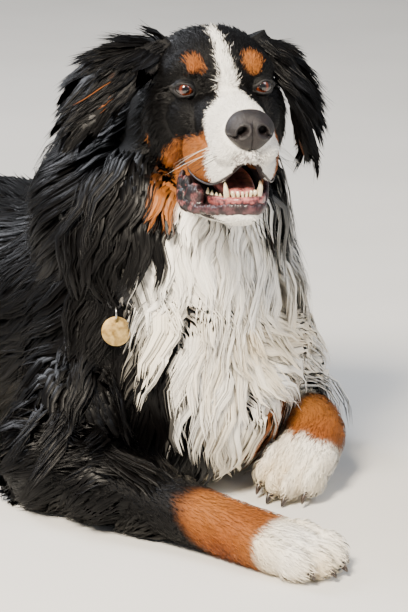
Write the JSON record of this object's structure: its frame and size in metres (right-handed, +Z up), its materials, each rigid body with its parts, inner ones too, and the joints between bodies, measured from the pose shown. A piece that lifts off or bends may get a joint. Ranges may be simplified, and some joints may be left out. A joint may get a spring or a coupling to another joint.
{
  "type": "bernese mountain dog",
  "caption": "Life-size still model of a long-coated mountain dog lying on its belly, head up and turned, mouth open, one forepaw stretched out, with a collar and a bare tag",
  "frame": {"origin": "middle of the flat on which the belly rests, at floor level", "axes": "+Z up, -Y the way the trunk points, +X the dog's left side"},
  "size_m": [0.5278, 1.3733, 0.532],
  "materials": {
    "coat": "long soft dog's coat, glossy black with rust and white markings",
    "nose": "moist pebbled nose leather",
    "eye": "wet brown eye",
    "mouth": "wet gum, lip and tongue",
    "collar": "woven webbing",
    "tag": "worn brass"
  },
  "bodies": {
    "root": {"head": "coat", "jaw": "mouth", "tongue": "mouth", "nose": "nose", "eye_left": "eye", "eye_right": "eye", "ear_left": "coat", "ear_right": "coat", "neck": "coat", "torso": "coat", "foreleg_left": "coat", "foreleg_right": "coat", "hindleg_left": "coat", "hindleg_right": "coat", "tail": "coat", "collar": "collar", "tag_ring": "tag", "tag": "tag"}
  },
  "joints": []
}
